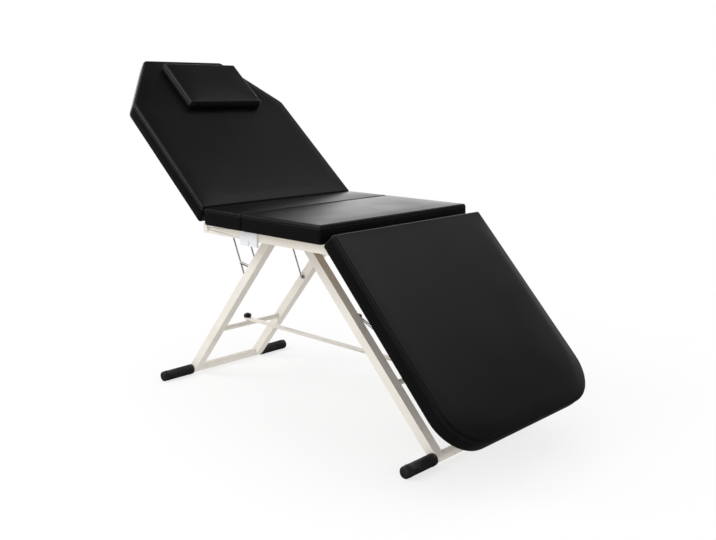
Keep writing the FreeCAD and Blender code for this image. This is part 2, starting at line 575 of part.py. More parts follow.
def leg_pairs():
    """A pair of legs at each end, with a foot tube, rubber sleeves and a crossbar."""
    for end, axle in AXLE.items():
        foot = FOOT[end]
        length = math.hypot(axle[0] - foot[0], axle[1] - foot[1])
        half = S.leg_tube / 2
        for word, side in SIDES.items():
            y_low = side_low(side, LEG_INNER, LEG_OUTER)
            name = f"{end}_leg_{word}"
            bar = box(name + "_bar", "leg_tube", "leg_tube", f"{length}", (-half, y_low, -length))
            crown = rod(name + "_crown", "leg_tube", "leg_tube", (0, y_low, 0), ALONG_Y)
            hollow = box(name + "_hollow", "leg_tube - 2 * leg_wall", "leg_tube - 2 * leg_wall",
                         f"{length - half}", (S.leg_wall - half, y_low + S.leg_wall, -length))
            tool_low = y_low - S.overshoot
            bore = rod(name + "_bore", "axle + 2 * running_clearance", "leg_tube + 2 * overshoot",
                       (0, tool_low, 0), ALONG_Y)
            cope = rod(name + "_cope", "foot_tube", "leg_tube + 2 * overshoot", (0, tool_low, -length),
                       ALONG_Y)
            leg = cut(name, fuse(name, bar, crown), hollow, bore, cope)
            finish(name, leg, axle, hanging_angle(axle, foot))
        reach = S.foot_length / 2
        tube = rod(f"{end}_foot_outer", "foot_tube", "foot_length", (foot[0], -reach, foot[1]), ALONG_Y)
        bore = rod(f"{end}_foot_inner", "foot_tube - 2 * foot_wall", "foot_length + 2 * overshoot",
                   (foot[0], -reach - S.overshoot, foot[1]), ALONG_Y)
        finish(f"{end}_foot_tube", cut(f"{end}_foot", tube, bore))
        sleeve_start = LEG_OUTER + S.sleeve_gap
        for word, side in SIDES.items():
            name = f"{end}_foot_sleeve_{word}"
            low = side_low(side, sleeve_start, reach + S.sleeve_end)
            skin = rod(name + "_skin", "sleeve", f"{reach + S.sleeve_end - sleeve_start}",
                       (foot[0], low, foot[1]), ALONG_Y)
            socket_low = side_low(side, sleeve_start - S.overshoot, reach)
            socket = rod(name + "_socket", "foot_tube", f"{reach - sleeve_start} + overshoot",
                         (foot[0], socket_low, foot[1]), ALONG_Y)
            ground = box(name + "_ground", "sleeve", f"{reach}", "sleeve",
                         (foot[0] - S.sleeve / 2, side_low(side, LEG_INNER, LEG_INNER + reach), -S.sleeve))
            finish(name, cut(name, skin, socket, ground))
        x, z = CROSSBAR[end]
        bar = rod(f"{end}_crossbar_outer", "crossbar", f"{2 * LEG_INNER}", (x, -LEG_INNER, z), ALONG_Y)
        bore = rod(f"{end}_crossbar_inner", "crossbar - 2 * crossbar_wall",
                   f"{2 * LEG_INNER} + 2 * overshoot", (x, -LEG_INNER - S.overshoot, z), ALONG_Y)
        finish(f"{end}_crossbar", cut(f"{end}_crossbar", bar, bore))


STAY_MIDDLE = S.crossbar_height + S.crossbar / 2 + S.stay_clearance + S.stay_height / 2
STAY_PIVOT = (CROSSBAR["front"][0] - S.clevis_lead, STAY_MIDDLE)
CLAMP_X = CROSSBAR["rear"][0] - S.crossbar / 2 - S.clamp_screw / 2 - S.stay_clearance


def stay_and_clamp():
    """A bar from the front crossbar to the rear one, hooked behind it by a clamp screw with a knob."""
    x, z = STAY_PIVOT
    half_width = S.stay_width / 2
    half_height = S.stay_height / 2
    rear = CLAMP_X - S.stay_tail
    bar = box("stay_bar_box", f"{x - rear}", "stay_width", "stay_height",
              (rear, -half_width, z - half_height))
    nose = rod("stay_nose", "stay_height", "stay_width", (x, -half_width, z), ALONG_Y)
    eye = rod("stay_eye", "stay_pin + 2 * running_clearance", "stay_width + 2 * overshoot",
              (x, -half_width - S.overshoot, z), ALONG_Y)
    slot = rod("stay_clamp_hole", "clamp_screw + 2 * running_clearance", "stay_height + 2 * overshoot",
               (CLAMP_X, 0, z - half_height - S.overshoot), ALONG_Z)
    finish("stay_bar", cut("stay_bar", fuse("stay_bar", bar, nose), eye, slot))
    ears = []
    for word, side in SIDES.items():
        gap = half_width + S.clevis_gap
        low = side_low(side, gap, gap + S.clevis_wall)
        ear = box(f"clevis_ear_{word}", "clevis_lead + 2 * clevis_rise", "clevis_wall",
                  f"{z - S.crossbar_height + S.clevis_rise}", (x - S.clevis_rise, low, S.crossbar_height))
        seat = rod(f"clevis_seat_{word}", "crossbar", "clevis_wall + 2 * overshoot",
                   (CROSSBAR["front"][0], low - S.overshoot, S.crossbar_height), ALONG_Y)
        bore = rod(f"clevis_bore_{word}", "stay_pin + 2 * running_clearance", "clevis_wall + 2 * overshoot",
                   (x, low - S.overshoot, z), ALONG_Y)
        ears.append(cut(f"clevis_{word}", ear, seat, bore))
    finish("stay_clevis", group("stay_clevis", *ears))
    reach = half_width + S.clevis_gap + S.clevis_wall
    finish("stay_pin", rod("stay_pin", "stay_pin", f"{2 * reach}", (x, -reach, z), ALONG_Y))
    knob_low = z + half_height + S.knob_seat
    screw_low = S.crossbar_height - S.clamp_hook_depth
    finish("clamp_screw", rod("clamp_screw", "clamp_screw", f"{knob_low - screw_low}",
                              (CLAMP_X, 0, screw_low), ALONG_Z))
    core = rod("knob_core", "knob - knob_lobe", "knob_height", (CLAMP_X, 0, knob_low), ALONG_Z)
    lobe_ring = (S.knob - S.knob_lobe) / 2
    lobes = []
    for number in range(int(S.knob_lobes)):
        turn = 2 * math.pi * number / int(S.knob_lobes)
        centre = (CLAMP_X + lobe_ring * math.cos(turn), lobe_ring * math.sin(turn), knob_low)
        lobes.append(rod(f"knob_lobe{number}", "knob_lobe", "knob_height", centre, ALONG_Z))
    finish("clamp_knob", fuse("clamp_knob", core, *lobes))


# Build, check and export

def whole_box():
    """The box around every sub-part."""
    around = FreeCAD.BoundBox()
    for piece in subparts:
        around.add(piece.Shape.BoundBox)
    return around


def main():
    """Make every sub-part, centre the table over the origin, check it and write one file per sub-part."""
    all_cushions()
    head_pillow()
    seat_rails()
    seat_cross_members()
    seam_hinges()
    backrest_frame()
    backrest_props()
    leg_rest_frame()
    leg_rest_hinges()
    leg_rest_struts()
    leg_pairs()
    stay_and_clamp()
    doc.recompute()
    around = whole_box()
    shift = Placement(Vector(-(around.XMin + around.XMax) / 2, 0, 0), Rotation())
    for piece in subparts:
        piece.Placement = shift.multiply(piece.Placement)
    doc.recompute()
    for thing in doc.Objects:
        if "Invalid" in thing.State or "Error" in thing.State:
            raise RuntimeError(f"{thing.Name} failed: {thing.State}")
    for piece in subparts:
        if piece.Shape.isNull() or not piece.Shape.isValid() or not piece.Shape.Solids:
            raise RuntimeError(f"{piece.Label} has no valid solid")
    os.makedirs("parts", exist_ok=True)
    for piece in subparts:
        piece.Shape.exportStep(f"parts/{piece.Label}.step")
    x = shift.Base.x
    print(f"{len(subparts)} sub-parts, shifted {x:.4f} mm along X")
    places = {"backrest pivot": BACKREST_PIVOT, "prop pivot": PROP_TOP, "leg rest pivot": LEG_REST_PIVOT,
              "strut pivot": STRUT_TOP, "rear axle": AXLE["rear"], "front axle": AXLE["front"],
              "stay pivot": STAY_PIVOT, "clamp": (CLAMP_X, STAY_MIDDLE), "rear foot": FOOT["rear"],
              "front foot": FOOT["front"]}
    for word, (place_x, place_z) in places.items():
        print(f"{word}: x {place_x + x:.4f}, z {place_z:.4f}")


main()
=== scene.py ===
import json
import math

import bmesh
import bpy
import numpy as np
from mathutils import Matrix, Vector


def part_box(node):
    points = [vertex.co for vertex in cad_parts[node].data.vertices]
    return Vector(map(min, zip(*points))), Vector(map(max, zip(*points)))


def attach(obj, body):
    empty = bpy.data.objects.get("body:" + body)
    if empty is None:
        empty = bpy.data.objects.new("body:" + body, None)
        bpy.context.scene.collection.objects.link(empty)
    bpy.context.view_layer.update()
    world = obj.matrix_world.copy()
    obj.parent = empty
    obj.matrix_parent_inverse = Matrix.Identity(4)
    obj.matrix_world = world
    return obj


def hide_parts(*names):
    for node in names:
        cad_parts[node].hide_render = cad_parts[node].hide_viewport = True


# Looks of a folding massage table: vinyl cushions, painted tube, steel wire, rubber feet.
# Everything is in metres in the frame's own axes: +X to the foot end, +Z up.

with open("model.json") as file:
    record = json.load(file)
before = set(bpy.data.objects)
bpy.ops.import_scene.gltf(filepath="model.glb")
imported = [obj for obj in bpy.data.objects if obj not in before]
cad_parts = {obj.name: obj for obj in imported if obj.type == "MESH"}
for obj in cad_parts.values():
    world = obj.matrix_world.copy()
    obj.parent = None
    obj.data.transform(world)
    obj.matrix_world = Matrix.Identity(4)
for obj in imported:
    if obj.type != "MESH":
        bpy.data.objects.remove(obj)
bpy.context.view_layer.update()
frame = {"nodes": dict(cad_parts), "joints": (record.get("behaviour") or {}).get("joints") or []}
nodes = frame["nodes"]
joints = {joint["name"]: joint for joint in frame["joints"]}


# Camera, at the photograph's viewing angle

PHOTO_WIDTH = 716
FOCAL_PIXELS = 858.1
SENSOR_WIDTH_MM = 36.0
CAMERA_FROM_SEAM = (1.8989, -1.7990, 0.9584)
CAMERA_TURN = math.radians(44.03)
CAMERA_DOWN = math.radians(11.73)


def make_camera():
    """A level camera that looks slightly down at the table's right front corner."""
    data = bpy.data.cameras.new("camera")
    data.sensor_width = SENSOR_WIDTH_MM
    data.lens = FOCAL_PIXELS / PHOTO_WIDTH * SENSOR_WIDTH_MM
    camera = bpy.data.objects.new("camera", data)
    seam_x = (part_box("rear_seat_cushion")[1].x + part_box("front_seat_cushion")[0].x) / 2
    camera.location = Vector(CAMERA_FROM_SEAM) + Vector((seam_x, 0, 0))
    camera.rotation_euler = (math.pi / 2 - CAMERA_DOWN, 0, CAMERA_TURN)
    bpy.context.scene.collection.objects.link(camera)
    bpy.context.scene.camera = camera


# Materials

class Shading:
    """A node tree, with short ways to add nodes and to link or set their inputs."""

    def __init__(self, tree):
        self.tree = tree

    def put(self, socket, value):
        """Link an input to another node's output, or set it to a plain value."""
        if isinstance(value, bpy.types.NodeSocket):
            self.tree.links.new(value, socket)
        else:
            socket.default_value = value

    def add(self, kind, settings=None, values=(), **inputs):
        """A new node, its inputs given in order or by name."""
        node = self.tree.nodes.new(kind)
        for key, value in (settings or {}).items():
            setattr(node, key, value)
        for socket, value in zip(node.inputs, values):
            self.put(socket, value)
        for key, value in inputs.items():
            self.put(node.inputs[key.replace("_", " ")], value)
        return node

    def maths(self, operation, *values):
        """The result of a math node over links and numbers."""
        return self.add("ShaderNodeMath", {"operation": operation}, values).outputs["Value"]

    def eased(self, source, start, end, low, high):
        """A number that changes smoothly between two limits."""
        return self.add("ShaderNodeMapRange", {"interpolation_type": "SMOOTHSTEP"}, Value=source,
                        From_Min=start, From_Max=end, To_Min=low, To_Max=high).outputs["Result"]


# How much of a noise's range is used for colours, and for other values
TONE_LIMITS = (0.35, 0.65)
DRIFT_LIMITS = (0.3, 0.7)


class Look(Shading):
    """A new material, with the textures that the looks share."""

    def __init__(self, name):
        self.material = bpy.data.materials.new(name)
        self.material.use_nodes = True
        super().__init__(self.material.node_tree)
        self.shader = self.tree.nodes["Principled BSDF"]

    def feed(self, **inputs):
        """Link or set the shader's inputs."""
        for key, value in inputs.items():
            self.put(self.shader.inputs[key.replace("_", " ")], value)

    def points(self, stretch=(1, 1, 1)):
        """Texture coordinates fixed to the piece, in metres."""
        source = self.add("ShaderNodeTexCoord").outputs["Object"]
        return self.add("ShaderNodeMapping", Vector=source, Scale=stretch).outputs["Vector"]

    def noise(self, points, scale, detail, distortion=0.0):
        """A number that drifts from place to place."""
        return self.add("ShaderNodeTexNoise", Vector=points, Scale=scale, Detail=detail,
                        Distortion=distortion).outputs["Fac"]

    def tones(self, factor, dark, light):
        """A colour that drifts between two tones."""
        ramp = self.add("ShaderNodeValToRGB", Fac=factor)
        for end, at, tone in zip(ramp.color_ramp.elements, TONE_LIMITS, (dark, light)):
            end.position = at
            end.color = (*tone, 1)
        return ramp.outputs["Color"]

    def between(self, factor, low, high):
        """A number that drifts between two values."""
        start, end = DRIFT_LIMITS
        return self.add("ShaderNodeMapRange", Value=factor, From_Min=start, From_Max=end, To_Min=low,
                        To_Max=high).outputs["Result"]

    def bump(self, height, strength, distance, **inputs):
        """A shading normal from a height."""
        return self.add("ShaderNodeBump", Height=height, Strength=strength, Distance=distance,
                        **inputs).outputs["Normal"]


# Pointiness of flat vinyl and of a rolled edge, and the painted highlight colour that makes rolled edges
# paler
EDGE_FLAT = 0.51
EDGE_ROUNDED = 0.60
EDGE_HIGHLIGHT_PAINT = (0.060, 0.057, 0.059, 1)


def vinyl_material():
    """Black upholstery vinyl: fine pebble grain, rolled edges painted paler as a highlight, satin gloss."""
    look = Look("vinyl")
    points = look.points()
    drift = look.noise(points, 5.0, 3.0)
    pebbles = look.add("ShaderNodeTexVoronoi", Vector=points, Scale=620.0).outputs["Distance"]
    creases = look.noise(points, 260.0, 2.0)
    skin = look.tones(drift, (0.0026, 0.0026, 0.0029), (0.0042, 0.0042, 0.0047))
    bend = look.add("ShaderNodeNewGeometry").outputs["Pointiness"]
    # Painted highlight: convex rolled edges are mixed towards a paler grey by their pointiness, standing in
    # for the light they catch
    highlight_share = look.add("ShaderNodeMapRange", Value=bend, From_Min=EDGE_FLAT,
                    From_Max=EDGE_ROUNDED).outputs["Result"]
    painted_highlight = look.add("ShaderNodeMix", {"data_type": "RGBA"}, Factor=highlight_share, A=skin, B=EDGE_HIGHLIGHT_PAINT)
    grain = look.bump(pebbles, 0.10, 0.0006)
    look.feed(Base_Color=painted_highlight.outputs["Result"], Roughness=look.between(drift, 0.29, 0.36),
              Normal=look.bump(creases, 0.06, 0.0006, Normal=grain), Specular_IOR_Level=0.16)
    return look.material


def thread_material():
    """Dark brown sewing thread."""
    look = Look("thread")
    strands = look.noise(look.points(), 900.0, 2.0)
    look.feed(Base_Color=look.tones(strands, (0.050, 0.032, 0.029), (0.095, 0.060, 0.054)), Roughness=0.6)
    return look.material


def paint_material(name, dark, light):
    """Powder coat on steel: slight orange peel and a drifting tone."""
    look = Look(name)
    points = look.points()
    drift = look.noise(points, 9.0, 4.0)
    peel = look.noise(points, 420.0, 1.0)
    look.feed(Base_Color=look.tones(drift, dark, light), Roughness=look.between(drift, 0.30, 0.42),
              Normal=look.bump(peel, 0.08, 0.0005))
    return look.material


def steel_material():
    """Drawn steel wire and turned pins, with fine marks."""
    look = Look("steel")
    points = look.points()
    marks = look.noise(points, 300.0, 3.0)
    drift = look.noise(points, 25.0, 2.0)
    look.feed(Base_Color=look.tones(drift, (0.62, 0.62, 0.63), (0.76, 0.76, 0.77)),
              Roughness=look.between(marks, 0.34, 0.5), Normal=look.bump(marks, 0.12, 0.0003), Metallic=1.0)
    return look.material


def black_material(name, smoothest, roughest, dark, light):
    """Moulded black rubber or plastic, with a fine spark texture."""
    look = Look(name)
    points = look.points()
    spark = look.noise(points, 700.0, 2.0)
    drift = look.noise(points, 30.0, 3.0)
    look.feed(Base_Color=look.tones(drift, (dark,) * 3, (light,) * 3),
              Roughness=look.between(drift, smoothest, roughest), Normal=look.bump(spark, 0.15, 0.0004),
              Specular_IOR_Level=0.35)
    return look.material


def plywood_material():
    """Birch plywood: pale grain across the board with darker streaks."""
    look = Look("plywood")
    streaks = look.noise(look.points((30, 2.5, 30)), 6.0, 5.0, 0.6)
    pores = look.noise(look.points((400, 30, 400)), 4.0, 2.0)
    look.feed(Base_Color=look.tones(streaks, (0.42, 0.27, 0.14), (0.62, 0.45, 0.27)),
              Roughness=look.between(streaks, 0.55, 0.7), Normal=look.bump(pores, 0.15, 0.0005))
    return look.material


LOOKS = {
    "vinyl": vinyl_material(),
    "thread": thread_material(),
    "plywood": plywood_material(),
    "frame_paint": paint_material("frame_paint", (0.80, 0.755, 0.68), (0.85, 0.81, 0.74)),
    "hinge_paint": paint_material("hinge_paint", (0.76, 0.77, 0.80), (0.82, 0.825, 0.85)),
    "steel": steel_material(),
    "rubber": black_material("rubber", 0.5, 0.68, 0.008, 0.016),
    "black_plastic": black_material("black_plastic", 0.34, 0.46, 0.010, 0.018),
}


# Carried-over parts: finish by slot, and the rounded corners of rolled tube and cast pieces

TUBE_ROUND = 0.0022
SMALL_ROUND = 0.0006
ROUNDS = {"frame_paint": TUBE_ROUND, "hinge_paint": SMALL_ROUND, "black_plastic": SMALL_ROUND,
          "plywood": SMALL_ROUND, "steel": SMALL_ROUND}
JOIN_DISTANCE = 0.00002
SHARP_ANGLE = math.radians(40)
ROUND_STEPS = 3
# Parts whose finish differs from their slot's
REPAINTED = {"backrest_pivot_bolts": "frame_paint", "rail_end_plugs": "frame_paint",
             "seam_hinge_pins": "hinge_paint", "prop_clips": "steel"}


def dress_cad_nodes():
    """Give every carried-over part its material and softened edges."""
    for name, node in nodes.items():
        slot = REPAINTED.get(name, node.data.materials[0].name)
        node.data.materials[0] = LOOKS[slot]
        if slot not in ROUNDS:
            continue
        weld = node.modifiers.new("weld", "WELD")
        weld.merge_threshold = JOIN_DISTANCE
        round_edges = node.modifiers.new("round_edges", "BEVEL")
        round_edges.width = ROUNDS[slot]
        round_edges.segments = ROUND_STEPS
        round_edges.limit_method = "ANGLE"
        round_edges.angle_limit = SHARP_ANGLE
        round_edges.use_clamp_overlap = True
        round_edges.harden_normals = True


# Cushions

EDGE_ROUND = 0.008
CORNER_ROUND = 0.007
CORNER_STEP = 0.008
CORNER_STEPS = 4
GRID_STEP = 0.014
EDGE_STEPS = (0.0, 0.0008, 0.002, 0.0038, 0.006, 0.009, 0.014, 0.022)
EDGE_HOLD = 0.0095
WELT_HALF = 0.0015
WELT_RISE = 0.0010
WELT_GROOVE = 0.0008
WELT_SHOULDER = 0.7
WELT_RINGS = (1, 2, 3, 4, 5)
SIDE_BOW = 0.0009
SIDE_BOW_HALFWAY = 0.0006
BASE_ROUND = 0.004
BASE_CUT = 0.3
BASE_SHRINK = 0.985
PAD_CROWN = 0.005
CROWN_REACH = 0.09
BACKREST_STRAIGHT = 0.460
BACKREST_TOP = 0.316
LEG_REST_CORNER = 0.114
PILLOW_CROWN = 0.008
PILLOW_DROOP = 0.003
BACKREST_TUCK = 0.011
TUCK_REACH = 0.06


def turned_frame(joint_name, angle):
    """The axes of a cushion that is tilted about a joint."""
    pivot = Matrix.Translation(Vector(joints[joint_name]["pos_m"]))
    return pivot @ Matrix.Rotation(math.radians(angle), 4, "Y")


FLAT = Matrix.Identity(4)
BACK_AXES = turned_frame("backrest_tilt", -joints["backrest_tilt"]["range_deg"][0])
LEG_AXES = turned_frame("leg_rest_tilt", joints["leg_rest_tilt"]["range_deg"][1])


def local_box(node_name, axes):
    """A part's lowest and highest corner along a cushion's own axes."""
    back = axes.inverted()
    points = np.array([back @ vertex.co for vertex in nodes[node_name].data.vertices])
    return points.min(0), points.max(0)


def stations(low, high, start_round, end_round):
    """Distances along a cushion: close together at its ends, even in the middle."""
    start = sorted(set(EDGE_STEPS) | set(corner_steps(start_round)))
    end = sorted(set(EDGE_STEPS) | set(corner_steps(end_round)))
    inner_low = low + start[-1]
    inner_high = high - end[-1]
    count = max(2, round((inner_high - inner_low) / GRID_STEP))
    middle = np.linspace(inner_low, inner_high, count + 1)[1:-1]
    return np.concatenate([low + np.array(start), middle, high - np.array(end[::-1])])


def corner_steps(radius):
    """Even steps round a corner arc, as distances from the end that it meets."""
    count = max(CORNER_STEPS, round(radius / CORNER_STEP))
    return [radius * (1 - math.cos(math.pi / 2 * step / count)) for step in range(1, count + 1)]


def corner_loss(distance, radius):
    """How far a rounded corner draws the side in, at a distance from the end."""
    if distance >= radius:
        return 0.0
    return radius - math.sqrt(radius ** 2 - (radius - distance) ** 2)


SHORTEST_SPAN = 1e-6


def edge_distance(points, loop):
    """Each point's distance to a closed outline."""
    best = np.full(len(points), np.inf)
    for start, end in zip(loop, np.roll(loop, -1, axis=0)):
        span = end - start
        share = np.clip(((points - start) @ span) / max(span @ span, SHORTEST_SPAN ** 2), 0, 1)
        gap = np.linalg.norm(points - start - share[:, None] * span, axis=1)
        best = np.minimum(best, gap)
    return best


class Outline:
    """A cushion's plan: stations along X, a half width at each, and the middle line in Y."""

    def __init__(self, along, half_widths, middle):
        self.along = along
        self.half = np.array(half_widths)
        self.middle = middle
        full = self.half.max()
        across = stations(-full, full, CORNER_ROUND, CORNER_ROUND)
        self.shares = across / full

    def grid(self):
        """Points in rows across the plan, as their X and their Y."""
        x = np.repeat(self.along[:, None], len(self.shares), axis=1)
        y = self.middle + self.half[:, None] * self.shares[None, :]
        return x, y

    def rim(self):
        """Grid indices once round the edge, anticlockwise from above."""
        rows, columns = len(self.along), len(self.shares)
        loop = [(row, 0) for row in range(rows)]
        loop += [(rows - 1, column) for column in range(1, columns)]
        loop += [(row, columns - 1) for row in range(rows - 2, -1, -1)]
        loop += [(0, column) for column in range(columns - 2, 0, -1)]
        return loop


def rim_normals(loop):
    """Outward directions in plan along a closed outline."""
    ahead = np.roll(loop, -1, axis=0) - np.roll(loop, 1, axis=0)
    out = np.stack([ahead[:, 1], -ahead[:, 0]], axis=1)
    return out / np.linalg.norm(out, axis=1)[:, None]


def pad_mesh(name, outline, bottom, top, crown, tuck):
    """A closed cushion, its seam, the directions out from the seam, and the vertices that sewing holds.

    It has a crowned top with a rolled edge, a welt below it, a taut side and a flat base.
    """

    def tucked(at, height):
        """How far the end slopes out below its top edge."""
        near_end = max(0.0, 1 - (outline.along[-1] - at) / TUCK_REACH)
        return tuck * near_end * max(0.0, top - height) / (top - bottom)

    x, y = outline.grid()
    rim = outline.rim()
    loop = np.array([(x[cell], y[cell]) for cell in rim])
    out = rim_normals(loop)
    gap = edge_distance(np.stack([x.ravel(), y.ravel()], axis=1), loop).reshape(x.shape)
    inside = np.clip(EDGE_ROUND - gap, 0, EDGE_ROUND)
    roll = EDGE_ROUND - np.sqrt(EDGE_ROUND ** 2 - inside ** 2)
    dome = crown * (1 - np.exp(-(gap / CROWN_REACH)))
    z_top = top - roll + dome

    made = bmesh.new()
    upper = {cell: made.verts.new((x[cell], y[cell], z_top[cell])) for cell in np.ndindex(x.shape)}
    side_top = top - EDGE_ROUND
    seam = side_top - 2 * WELT_HALF
    middle = (bottom + seam) / 2
    # Each ring of the side: its height, and how far it lies inside the plan
    wall = [
        (seam + WELT_HALF, WELT_GROOVE),
        (seam + WELT_SHOULDER * WELT_HALF, -WELT_SHOULDER * WELT_RISE),
        (seam, -WELT_RISE),
        (seam - WELT_SHOULDER * WELT_HALF, -WELT_SHOULDER * WELT_RISE),
        (seam - WELT_HALF, WELT_GROOVE),
        (seam - 2 * WELT_HALF, 0.0),
        ((seam + middle) / 2, -SIDE_BOW_HALFWAY),
        (middle, -SIDE_BOW),
        ((bottom + middle) / 2, -SIDE_BOW_HALFWAY),
        (bottom + BASE_ROUND, 0.0),
        (bottom + BASE_CUT * BASE_ROUND, BASE_CUT * BASE_ROUND),
        (bottom, BASE_ROUND),
    ]
    rings = [[upper[cell] for cell in rim]]
    for height, inset in wall:
        points = loop - out * inset
        rings.append([made.verts.new((px, py, height)) for px, py in points])
    lower = dict(zip(rim, rings[-1]))
    centre = np.array([outline.along.mean(), outline.middle])
    for cell in np.ndindex(x.shape):
        if cell not in lower:
            away = np.array([x[cell], y[cell]]) - centre
            lower[cell] = made.verts.new((*(centre + away * BASE_SHRINK), bottom))
    for row in range(x.shape[0] - 1):
        for column in range(x.shape[1] - 1):
            corners = [(row, column), (row + 1, column), (row + 1, column + 1), (row, column + 1)]
            made.faces.new([upper[cell] for cell in corners])
            made.faces.new([lower[cell] for cell in reversed(corners)])
    for above, below in zip(rings, rings[1:]):
        for number in range(len(rim)):
            after = (number + 1) % len(rim)
            made.faces.new([above[number], below[number], below[after], above[after]])
    bmesh.ops.recalc_face_normals(made, faces=made.faces)
    made.verts.index_update()
    for vertex in made.verts:
        vertex.co.x += tucked(vertex.co.x, vertex.co.z)
    held = [vertex for number in WELT_RINGS for vertex in rings[number]]
    held += rings[-2] + list(lower.values())
    held += [upper[cell] for cell in np.ndindex(x.shape) if gap[cell] < EDGE_HOLD]
    sewn = [vertex.index for vertex in held]
    mesh = bpy.data.meshes.new(name)
    made.to_mesh(mesh)
    made.free()
    mesh.shade_smooth()
    seam_loop = [Vector((px + tucked(px, side_top), py, side_top)) for px, py in loop]
    return mesh, seam_loop, [Vector((*direction, 0)) for direction in out], sewn


def place(name, mesh, axes, body, look):
    """A new piece on its cushion's axes, riding on a body."""
    piece = bpy.data.objects.new(name, mesh)
    bpy.context.scene.collection.objects.link(piece)
    piece.matrix_world = axes
    mesh.materials.append(LOOKS[look])
    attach(piece, body)
    return piece


PUFF_FRAMES = 20
PUFF_QUALITY = 6
PUFF_MASS = 0.25
PUFF_PRESSURE = 4.0
PUFF_LIMIT = 0.0022
SIDE_LIMIT = 0.0007


def puff(pad, sewn):
    """Fill a sewn pad by a short cloth simulation, held at its seam and base, and keep the shape."""
    pad.modifiers.new("smooth", "SUBSURF")
    scene = bpy.context.scene
    pad.vertex_groups.new(name="sewn").add(sewn, 1.0, "REPLACE")
    cloth = pad.modifiers.new("cloth", "CLOTH")
    pad.modifiers.move(1, 0)
    cloth.settings.quality = PUFF_QUALITY
    cloth.settings.mass = PUFF_MASS
    cloth.settings.vertex_group_mass = "sewn"
    cloth.settings.use_pressure = True
    cloth.settings.uniform_pressure_force = PUFF_PRESSURE
    cloth.settings.effector_weights.gravity = 0.0
    cloth.collision_settings.use_collision = False
    cloth.point_cache.frame_start = 1
    cloth.point_cache.frame_end = PUFF_FRAMES
    pad.modifiers["smooth"].show_viewport = False
    for step in range(1, PUFF_FRAMES + 1):
        scene.frame_set(step)
    filled = pad.evaluated_get(bpy.context.evaluated_depsgraph_get()).data
    limits = Vector((SIDE_LIMIT, SIDE_LIMIT, PUFF_LIMIT))
    for vertex, shaped in zip(pad.data.vertices, filled.vertices):
        for axis, limit in enumerate(limits):
            moved = shaped.co[axis] - vertex.co[axis]
            vertex.co[axis] += min(limit, max(-limit, moved))
    pad.modifiers.remove(cloth)
    pad.modifiers["smooth"].show_viewport = True
    scene.frame_set(1)


STITCH = 0.0042
STITCH_GAP = 0.0018
STITCH_WIDTH = 0.0007
STITCH_RISE = 0.0012
STITCH_LEAN = 0.4


def stitch_row(name, loop, out, axes, body):
    """A row of short raised stitches just above a seam."""
    points = [point + Vector((0, 0, STITCH_RISE)) for point in loop]
    made = bmesh.new()
    pitch = STITCH + STITCH_GAP
    carried = 0.0
    for number, start in enumerate(points):
        end = points[(number + 1) % len(points)]
        normal = (out[number] + Vector((0, 0, STITCH_LEAN))).normalized()
        span = (end - start).length
        travel = -carried
        while travel + pitch <= span + pitch / 2 and span > 0:
            travel = max(travel, 0)
            add_stitch(made, start.lerp(end, travel / span), (end - start).normalized(), normal)
            travel += pitch
        carried = span - travel if span > travel else carried + span
    mesh = bpy.data.meshes.new(name)
    made.to_mesh(mesh)
    made.free()
    return place(name, mesh, axes, body, "thread")


def add_stitch(made, start, along, normal):
    """One stitch: a small ridge with pointed ends."""
    across = along.cross(normal) * STITCH_WIDTH / 2
    tip = made.verts.new(start)
    tail = made.verts.new(start + along * STITCH)
    waist = start + along * STITCH / 2
    left = made.verts.new(waist - across)
    right = made.verts.new(waist + across)
    peak = made.verts.new(waist + normal * STITCH_WIDTH / 2)
    under = made.verts.new(waist - normal * STITCH_WIDTH)
    for first, second in ((left, peak), (peak, right), (right, under), (under, left)):
        made.faces.new([tip, first, second])
        made.faces.new([tail, second, first])


def rectangular(low, high, start_corner, end_corner):
    """A plan with square sides and two rounded corners at each end."""
    along = stations(low[0], high[0], start_corner, end_corner)
    half = (high[1] - low[1]) / 2
    halves = [half - corner_loss(x - low[0], start_corner) - corner_loss(high[0] - x, end_corner)
              for x in along]
    return Outline(along, halves, (low[1] + high[1]) / 2)


def backrest_plan(low, high):
    """The backrest narrows to its top edge beyond its straight sides."""
    shoulder = high[0] - BACKREST_STRAIGHT
    along = stations(low[0], high[0], CORNER_ROUND, CORNER_ROUND)
    along[np.argmin(abs(along - shoulder))] = shoulder
    half = (high[1] - low[1]) / 2
    halves = []
    for x in along:
        taper = max(0.0, (shoulder - x) / (shoulder - low[0]))
        width = half + (BACKREST_TOP / 2 - half) * taper
        halves.append(width - corner_loss(x - low[0], CORNER_ROUND) - corner_loss(high[0] - x, CORNER_ROUND))
    return Outline(along, halves, (low[1] + high[1]) / 2)


def make_cushions():
    """The five pads, each in its solid's place, with a row of stitches."""
    plans = {
        "rear_seat": (FLAT, "seat_frame", "rear_seat_cushion"),
        "front_seat": (FLAT, "seat_frame", "front_seat_cushion"),
        "backrest": (BACK_AXES, "backrest", "backrest_cushion"),
        "leg_rest": (LEG_AXES, "leg_rest", "leg_rest_cushion"),
        "pillow": (BACK_AXES, "pillow", "head_pillow"),
    }
    for name, (axes, body, node_name) in plans.items():
        low, high = local_box(node_name, axes)
        if name == "pillow":
            high[0] += PILLOW_DROOP
        if name == "backrest":
            plan = backrest_plan(low, high)
        else:
            end_corner = LEG_REST_CORNER if name == "leg_rest" else CORNER_ROUND
            plan = rectangular(low, high, CORNER_ROUND, end_corner)
        crown = PILLOW_CROWN if name == "pillow" else PAD_CROWN
        tuck = BACKREST_TUCK if name == "backrest" else 0.0
        mesh, seam, out, sewn = pad_mesh(name + "_pad", plan, low[2], high[2] - crown, crown, tuck)
        pad = place(name + "_pad", mesh, axes, body, "vinyl")
        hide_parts(node_name)
        puff(pad, sewn)
        stitch_row(name + "_stitching", seam, out, axes, body)


# Rubber sleeves on the foot tubes and the clamp's knob

